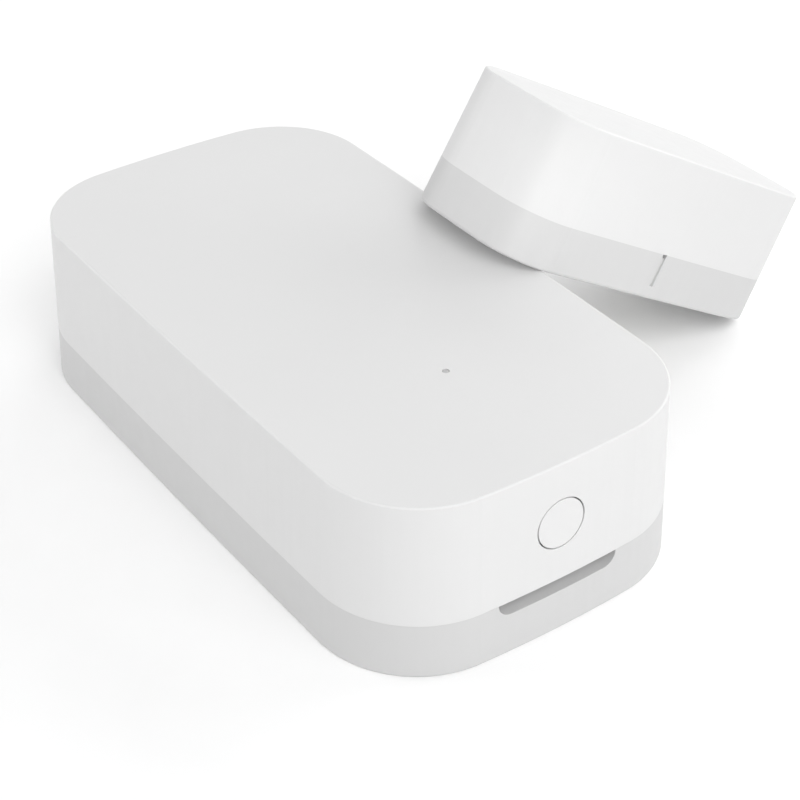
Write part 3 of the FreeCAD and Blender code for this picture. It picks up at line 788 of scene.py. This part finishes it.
def chip_routes():
    """From the chip to the passives beside it, the crystal, the status LED and the switch."""
    front, back = chip_pins(FRONT), chip_pins(BACK)
    pairs = [(pin, (box[1].x, middle(box).y)) for pin, box in zip(chip_pins(LEFT)[1::3], LEFT_CAPACITORS)]
    pairs += [(pin, (box[0].x, middle(box).y)) for pin, box in zip(chip_pins(RIGHT)[1:6:2], RIGHT_RESISTORS)]
    pairs += [
        (back[1], (CRYSTAL[0].x + CRYSTAL_LEG_INSET, CRYSTAL[0].y)),
        (back[5], (CRYSTAL[1].x - CRYSTAL_LEG_INSET, CRYSTAL[0].y)),
        (front[5], (LED[0].x, LED[0].y + LED_TRACK_STEP)),
        (front[6], (LED[1].x + LED_TRACK_STEP, LED[0].y + 2 * LED_TRACK_STEP)),
        (front[2], (SWITCH_LOW.x, SWITCH_LOW.y + SWITCH_LEG)),
        (front[3], (SWITCH_HIGH.x, SWITCH_LOW.y + SWITCH_LEG)),
    ]
    return [dogleg(start, end) for start, end in pairs]


def reed_routes():
    """From the resistors beside the chip to the reed switch's wires."""
    first, last = RIGHT_RESISTORS[0], RIGHT_RESISTORS[2]
    starts = ((first[1].x, middle(LED).y + REED_TRACK_PAST_LED), (last[1].x, last[0].y + REED_TRACK_INSET))
    return [dogleg(start, hole) for start, hole in zip(starts, REED_HOLES)]


def stub_routes():
    """Short tracks that leave the passives behind the crystal."""
    routes = []
    for box in PASSIVES:
        if box[0].y > CRYSTAL[1].y:
            x, y = box[1].x - STUB_INSET, middle(box).y
            out = (x + STUB_SLANT, y + STUB_SLANT)
            routes.append([(x, y), out, (out[0], out[1] + STUB_LENGTH)])
    return routes


def antenna_route():
    near, far = ANTENNA_TURNS
    antenna = span("antenna")[0].y + ANTENNA_OVERLAP
    return dogleg(chip_pins(BACK)[6], near) + [far, (far[0], antenna)]


def board_tracks(work):
    for route in chip_routes() + reed_routes() + stub_routes() + [antenna_route()]:
        add_strip(work, route, TRACK_WIDTH, TOP - SINK, TOP + TRACK_LIFT)


def board_tracks_under(work):
    for route in UNDER_ROUTES:
        add_strip(work, route, TRACK_WIDTH, BOTTOM - TRACK_LIFT, BOTTOM + SINK)


VIA_HOLE = 0.13
VIA_RING = 0.26
VIA_SEGMENTS = 14
EDGE_VIAS = 9               # in a row along each side of the board
EDGE_VIA_INSET = 0.66
EDGE_VIA_START = 5.4        # from the board's front
EDGE_VIA_PITCH = 3.0
REED_CLEARANCE = 1.2        # between a via and a wire of the reed switch
INNER_VIAS = ((3.9, -7.9), (-0.1, 3.4), (0.9, 5.2), (-6.3, 2.9), (-5.8, 5.9), (3.1, 1.1), (1.2, 12.1))


def add_via(work, place, face, way):
    """A plated ring round a small hole; way is 1 on the top of the board and -1 under it."""
    rows = ((VIA_HOLE, -SINK), (VIA_RING, -SINK), (VIA_RING, TRACK_LIFT), (VIA_HOLE, TRACK_LIFT))
    add_turned(work, place, [(radius, face + way * height) for radius, height in rows], VIA_SEGMENTS)


def board_vias(work):
    edge = [(x, BOARD_LOW.y + EDGE_VIA_START + i * EDGE_VIA_PITCH) for i in range(EDGE_VIAS)
            for x in (BOARD_LOW.x + EDGE_VIA_INSET, BOARD_HIGH.x - EDGE_VIA_INSET)]
    edge = [place for place in edge if all(math.dist(place, hole) > REED_CLEARANCE for hole in REED_HOLES)]
    for place in edge + list(INNER_VIAS):
        add_via(work, place, TOP, 1)
    for place in edge + [route[0] for route in UNDER_ROUTES]:
        add_via(work, place, BOTTOM, -1)


PAD_LIFT = 0.03
PAD_MARGIN = 0.1            # past the sides of what is soldered to the pad
PAD_OUT = 0.25              # past its end, and back under it
PAD_IN = 0.3
CRYSTAL_PAD_HALF = (0.35, 0.3)
ROUND_PAD = 0.5             # radius
PORT_PADS = 5               # a row of round pads for programming
PORT_PLACE = (4.6, -1.4)
PORT_PITCH = 1.5
TEST_POINTS = ((-4.2, 13.2), (-2.8, 12.0), (5.2, 12.2), (-2.6, -12.8), (2.0, -14.2), (3.2, -13.2))


def add_round_pad(work, place, face, way):
    """A flat round pad; way is 1 on the top of the board and -1 under it."""
    rows = ((0, -SINK), (ROUND_PAD, -SINK), (ROUND_PAD, PAD_LIFT), (0, PAD_LIFT))
    add_turned(work, place, [(radius, face + way * height) for radius, height in rows])


def board_pads(work):
    for low, high in PASSIVES + [LED]:
        for x0, x1 in ((low.x - PAD_OUT, low.x + PAD_IN), (high.x - PAD_IN, high.x + PAD_OUT)):
            add_block(work, x0, x1, low.y - PAD_MARGIN, high.y + PAD_MARGIN, TOP - SINK, TOP + PAD_LIFT)
    half_x, half_y = CRYSTAL_PAD_HALF
    for x in (CRYSTAL[0].x, CRYSTAL[1].x):
        for y in (CRYSTAL[0].y, CRYSTAL[1].y):
            add_block(work, x - half_x, x + half_x, y - half_y, y + half_y, TOP - SINK, TOP + PAD_LIFT)
    for i in range(PORT_PADS):
        add_round_pad(work, (PORT_PLACE[0], PORT_PLACE[1] + PORT_PITCH * i), TOP, 1)


def board_test_points(work):
    for place in TEST_POINTS:
        add_round_pad(work, place, BOTTOM, -1)


CAP_SKIN = 0.01             # how far an end cap stands out from its part
CAP_LENGTH = 0.22
CAP_FOOT = 0.005            # how far above the board an end cap starts
CAP_TOP = 0.012             # how far it stands above its part


def passive_terminals(work):
    """The tinned end caps of the resistors and capacitors."""
    for low, high in PASSIVES:
        for x0, x1 in ((low.x - CAP_SKIN, low.x + CAP_LENGTH), (high.x - CAP_LENGTH, high.x + CAP_SKIN)):
            add_block(work, x0, x1, low.y - CAP_SKIN, high.y + CAP_SKIN, TOP + CAP_FOOT, high.z + CAP_TOP)


# (radius, height) from the edge of a joint to its tip
REED_JOINT = ((0.7, 0.0), (0.62, 0.06), (0.42, 0.16), (0.3, 0.32), (0.26, 0.46), (0, 0.46))
SWITCH_JOINT = ((0.5, 0.1), (0.32, 0.24), (0, 0.3))
SWITCH_JOINT_FOOT = 0.62


def solder_joints(work):
    foot = ((0, -SINK), (REED_JOINT[0][0], -SINK))
    for hole in REED_HOLES:
        for face, way in ((TOP, 1), (BOTTOM, -1)):
            add_turned(work, hole, [(radius, face + way * height) for radius, height in foot + REED_JOINT])
    foot = ((0, -SINK), (SWITCH_JOINT_FOOT, -SINK))
    for x in (SWITCH_LOW.x, SWITCH_HIGH.x):
        profile = [(radius, TOP + height) for radius, height in foot + SWITCH_JOINT]
        add_turned(work, (x, SWITCH_LOW.y + SWITCH_LEG), profile)


PLATE_THICK = 0.1
PLATE_HOLE = 0.78
PLATE_INSET = 0.62          # from the switch's sides
PLATE_FOOT = 0.25           # from the switch's underside
PLATE_HEAD = 0.02           # from the switch's top
PLATE_STEPS = 24
TINY = 1e-6


def switch_plate(work):
    """A thin steel plate on the switch's front, with a round hole for the plunger."""
    centre = middle(span("switch_plunger"))
    half = (SWITCH_HIGH.x - SWITCH_LOW.x) / 2 - PLATE_INSET
    below, above = centre.z - SWITCH_LOW.z - PLATE_FOOT, SWITCH_HIGH.z - PLATE_HEAD - centre.z
    hole, outline = circle(PLATE_HOLE, PLATE_STEPS), []
    for x, z in circle(1, PLATE_STEPS):
        reach = min(half / max(abs(x), TINY), (above if z > 0 else below) / max(abs(z), TINY))
        outline.append((x * reach, z * reach))
    front, back = SWITCH_LOW.y - PLATE_THICK, SWITCH_LOW.y + SINK
    rings = [[work.verts.new((centre.x + x, y, centre.z + z)) for x, z in ring]
             for ring, y in ((hole, front), (outline, front), (outline, back), (hole, back))]
    for one, other in zip(rings, rings[1:] + rings[:1]):
        join_rings(work, one, other)


# ---------------------------------------------------------------- the coin cell's stamp, in millimetres
PLUS_ARM = 1.6
PLUS_HALF = 0.28            # half of an arm's width
PLUS_DEPTH = 0.06
STAMP_RINGS = (5.9, 6.3)
STAMP_FOOT = 0.1            # half of a ring's width where it starts, and at its crest
STAMP_CREST = 0.07
STAMP_DEPTH = 0.04
STAMP_SEGMENTS = 96


def cell_stamp(work):
    """A plus sign, which marks this as the positive side, and two turned rings."""
    low, high = span("coin_cell_can")
    centre = middle((low, high))
    quarter = ((PLUS_HALF, -PLUS_ARM), (PLUS_HALF, -PLUS_HALF), (PLUS_ARM, -PLUS_HALF))
    cross = list(quarter)
    for _ in range(3):
        cross += [(-y, x) for x, y in cross[-3:]]
    add_prism(work, [(centre.x + x, centre.y + y) for x, y in cross], low.z - PLUS_DEPTH, low.z + SINK)
    for radius in STAMP_RINGS:
        rows = ((-STAMP_FOOT, SINK), (-STAMP_CREST, -STAMP_DEPTH), (STAMP_CREST, -STAMP_DEPTH),
                (STAMP_FOOT, SINK))
        add_turned(work, centre, [(radius + out, low.z + z) for out, z in rows], STAMP_SEGMENTS)


# ---------------------------------------------------------- the sensor base's lip and tray, in millimetres
LIP_EDGE = 0.01             # how near to the lip's top a point counts as being on its upper edge
LIP_DROP = 0.5              # from the lip's top to its snap beads
SIDE_CROWN = 1000.0         # the radius that the lip's long sides bow out with
END_CROWN = 83.0            # the same at its ends
SIDE_BEADS = (-9.5, 0, 9.5)
END_BEADS = (-3.6, 3.6)
BEAD_PROUD = 0.07
BEAD_SINK = 0.02
BEAD_LENGTH = 3.2
BEAD_TAPER = 0.4            # the length over which a bead's ends slope
BEAD_TIP = 0.2              # how proud its very ends are, as a share
BEAD_HALF = 0.28            # half of its width at the foot and at the crest
BEAD_CREST = 0.06
BEAD_ROOT = 0.1


def add_bead(work, level):
    """A low ridge that runs along Y, stands proud towards +X and has sloping sides."""
    section = ((0, -BEAD_HALF), (BEAD_PROUD, -BEAD_CREST), (BEAD_PROUD, BEAD_CREST), (0, BEAD_HALF),
               (-BEAD_ROOT, BEAD_HALF), (-BEAD_ROOT, -BEAD_HALF))
    end = BEAD_LENGTH / 2
    stations = ((-end, BEAD_TIP), (BEAD_TAPER - end, 1), (end - BEAD_TAPER, 1), (end, BEAD_TIP))
    rings = [[work.verts.new((x * scale if x > 0 else x, y, level + z)) for x, z in section]
             for y, scale in stations]
    for one, other in zip(rings, rings[1:]):
        join_rings(work, one, other)
    work.faces.new(rings[0][::-1])
    work.faces.new(rings[-1])


def lip_snap_beads(work):
    points = [v.co / MM for v in frame["nodes"]["sensor_base"].data.vertices]
    top = max(p.z for p in points)
    lip = [p for p in points if p.z > top - LIP_EDGE]
    side, end = max(p.x for p in lip), max(p.y for p in lip)
    walls = ((0, side, SIDE_CROWN, SIDE_BEADS), (180, side, SIDE_CROWN, SIDE_BEADS),
             (90, end, END_CROWN, END_BEADS), (270, end, END_CROWN, END_BEADS))
    for turn, reach, crown, places in walls:
        for shift in places:
            before = set(work.verts)
            add_bead(work, top - LIP_DROP)
            new = [v for v in work.verts if v not in before]
            lean = math.asin(shift / crown)
            out = reach - BEAD_SINK - crown * (1 - math.cos(lean))
            move = Matrix.Rotation(math.radians(turn), 4, "Z") @ Matrix.Translation((out, shift, 0))
            bmesh.ops.transform(work, matrix=move @ Matrix.Rotation(lean, 4, "Z"), verts=new)


TRAY_FLOOR = 1.2            # above the base's underside
EJECTOR_PLACES = ((-6, -13), (-6, 13), (6, -13), (6, 13))
EJECTOR_RADIUS = 1.1
EJECTOR_EDGE = 0.07         # the width and height of the witness ring that a pin leaves
EJECTOR_LIFT = 0.03
EJECTOR_SEGMENTS = 32


def tray_ejector_marks(work):
    floor = span("sensor_base")[0].z + TRAY_FLOOR
    inside = EJECTOR_RADIUS - EJECTOR_EDGE
    rows = ((inside, -SINK), (EJECTOR_RADIUS, -SINK), (EJECTOR_RADIUS, EJECTOR_LIFT), (inside, EJECTOR_LIFT))
    for place in EJECTOR_PLACES:
        add_turned(work, place, [(radius, floor + height) for radius, height in rows], EJECTOR_SEGMENTS)


def make_details():
    detail("board_tracks", "housing", "track", board_tracks)
    detail("board_tracks_under", "housing", "track", board_tracks_under)
    detail("board_test_points", "housing", "tin", board_test_points, 0.01)
    detail("board_vias", "housing", "copper", board_vias)
    detail("board_pads", "housing", "tin", board_pads, 0.01)
    detail("chip_leads", "housing", "tin", chip_leads, 0.015)
    detail("passive_terminals", "housing", "tin", passive_terminals, 0.03)
    detail("solder_joints", "housing", "tin", solder_joints)
    detail("switch_plate", "housing", "steel", switch_plate, 0.02)
    detail("cell_stamp", "housing", "cell", cell_stamp, 0.01)
    detail("lip_snap_beads", "base", "base", lip_snap_beads)
    detail("tray_ejector_marks", "base", "base", tray_ejector_marks)


# ---------------------------------------------------------------- floor
FLOOR_HALF = 1.5            # metres
FLOOR_TONES = (grey(0.945), grey(0.955))


def make_floor():
    look = Look("floor")
    speckle = look.noise(3.0, 4.0)
    look.colour(look.mix(look.spread(speckle, *NOISE_RANGE), *FLOOR_TONES))
    look.roughness(speckle, 0.7, 0.8)
    work = bmesh.new()
    bmesh.ops.create_grid(work, x_segments=4, y_segments=4, size=FLOOR_HALF)
    mesh = bpy.data.meshes.new("floor")
    work.to_mesh(mesh)
    work.free()
    mesh.materials.append(look.material)
    floor = bpy.data.objects.new("floor", mesh)
    scene.collection.objects.link(floor)


make_camera()
make_lights()
make_world()
dress_nodes()
make_details()
make_floor()
